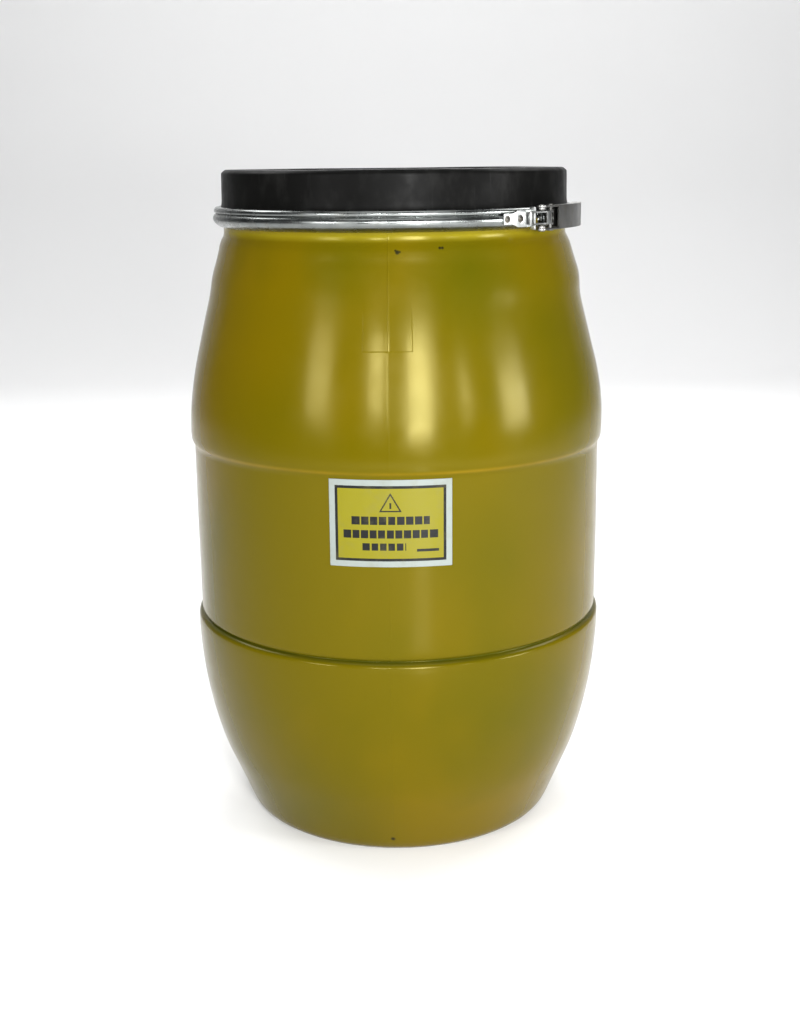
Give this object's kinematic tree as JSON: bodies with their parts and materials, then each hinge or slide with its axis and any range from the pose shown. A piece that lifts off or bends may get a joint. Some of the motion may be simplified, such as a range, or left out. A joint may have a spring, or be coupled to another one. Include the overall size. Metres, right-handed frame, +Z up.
{
  "type": "overpack salvage drum",
  "caption": "Open-head plastic salvage drum with a barrel-shaped body, dished black lid, foam gasket and a steel clamp ring closed by a swinging lever and hook link.",
  "frame": {"origin": "middle of the base, on the plane the foot ring stands on", "axes": "+Z up the drum's axis; -Y towards the label (the front), +X towards the closure's side"},
  "size_m": [0.4969, 0.497, 0.78],
  "materials": {
    "drum_plastic": "semi-gloss olive-yellow blow-moulded polyethylene",
    "label_film": null,
    "lid_plastic": "satin black moulded polyethylene",
    "gasket_foam": "closed-cell foam",
    "ring_steel": "bright zinc-coated rolled strip",
    "bracket_steel": "bright zinc-plated pressing",
    "lever_steel": "zinc-plated pressing, duller",
    "rivet_steel": "plated rivets and pins"
  },
  "bodies": {
    "drum": {"drum_body": "drum_plastic", "label": "label_film"},
    "lid_assembly": {"lid": "lid_plastic", "lid_gasket": "gasket_foam"},
    "ring": {"clamp_band": "ring_steel", "lever_bracket": "lever_steel", "lever_bracket_rivet_1": "rivet_steel", "lever_bracket_rivet_2": "rivet_steel", "lever_pivot_rivet_top": "rivet_steel", "lever_pivot_rivet_bottom": "rivet_steel", "seal_lug": "bracket_steel", "seal_lug_rivet": "rivet_steel"},
    "ring_pull_end": {"pull_bracket": "bracket_steel", "pull_bracket_rivet_1": "rivet_steel", "pull_bracket_rivet_2": "rivet_steel"},
    "lever_arm": {"lever": "lever_steel", "link_pin": "rivet_steel"},
    "hook_link": {"link": "bracket_steel"}
  },
  "joints": [
    {"name": "lid_lift", "type": "slide", "parent": "drum", "child": "lid_assembly", "axis": [0, 0, 1], "range_m": [0, 0.25]},
    {"name": "ring_lift", "type": "slide", "parent": "lid_assembly", "child": "ring", "axis": [0, 0, 1], "range_m": [0, 0.15]},
    {"name": "lever_swing", "type": "hinge", "parent": "ring", "child": "lever_arm", "pos_m": [0.15847, -0.15144, 0.727], "axis": [0, 0, -1], "range_deg": [0, 105]},
    {"name": "link_swing", "type": "hinge", "parent": "lever_arm", "child": "hook_link", "pos_m": [0.16963, -0.13469, 0.727], "axis": [0, 0, 1], "range_deg": [0, 121]},
    {"name": "ring_flex", "type": "hinge", "parent": "ring", "child": "ring_pull_end", "pos_m": [-0.15342, 0.1461, 0.727], "axis": [0, 0, -1], "range_deg": [0, 1.1], "deforming": ["clamp_band"]}
  ],
  "couplings": [
    {"joint": "link_swing", "follows": "lever_swing", "ratio": 1.15},
    {"joint": "ring_flex", "follows": "lever_swing", "ratio": 0.01}
  ]
}
